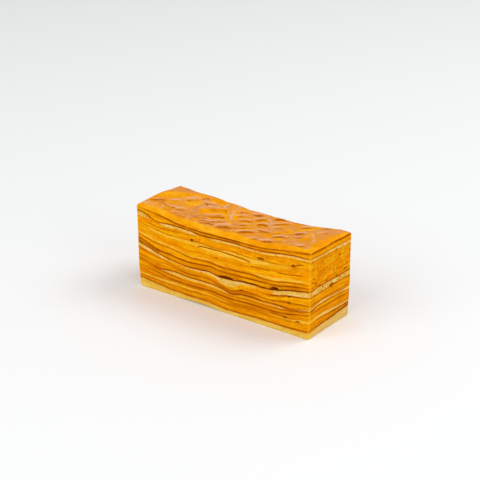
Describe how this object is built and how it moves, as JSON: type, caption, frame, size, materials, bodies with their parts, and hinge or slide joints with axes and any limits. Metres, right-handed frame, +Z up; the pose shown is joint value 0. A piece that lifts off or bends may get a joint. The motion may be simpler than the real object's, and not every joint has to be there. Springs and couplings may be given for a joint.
{
  "type": "sarawak layer cake",
  "caption": "Upright rectangular bar cut from a baked layer cake: thin wavy amber, yellow and cream layers with browned skins, a sagging ridged top and a flat underside to rest on.",
  "frame": {"origin": "middle of the flat underside", "axes": "+Z up, +X along the bar to its right end, +Y through the bar from the front cut face to the back one"},
  "size_m": [0.154, 0.051, 0.0659],
  "materials": {
    "base_yellow": "moist fine crumb, dull, greyish yellow",
    "deep_amber": "moist fine crumb, deep amber, thin browned skin on each layer",
    "amber": "moist fine crumb, bright amber, thin browned skin on each layer",
    "yellow": "moist fine crumb, egg yellow",
    "cream": "pale cream crumb under a dark browned skin",
    "browned_top": "pinkish tan baked skin in a net of low ridges over amber hollows, faint buttery sheen"
  },
  "bodies": {
    "root": {"layer_01_base": "base_yellow", "layer_02_amber": "deep_amber", "layer_03_yellow": "yellow", "layer_04_amber": "deep_amber", "layer_05_amber": "deep_amber", "layer_06_cream": "cream", "layer_07_amber": "deep_amber", "layer_08_amber": "deep_amber", "layer_09_cream": "cream", "layer_10_amber": "amber", "layer_11_amber": "amber", "layer_12_yellow": "yellow", "layer_13_amber": "amber", "layer_14_amber": "amber", "layer_15_yellow": "yellow", "layer_16_amber": "amber", "layer_17_cream": "cream", "layer_18_amber": "amber", "layer_19_top": "browned_top"}
  },
  "joints": []
}
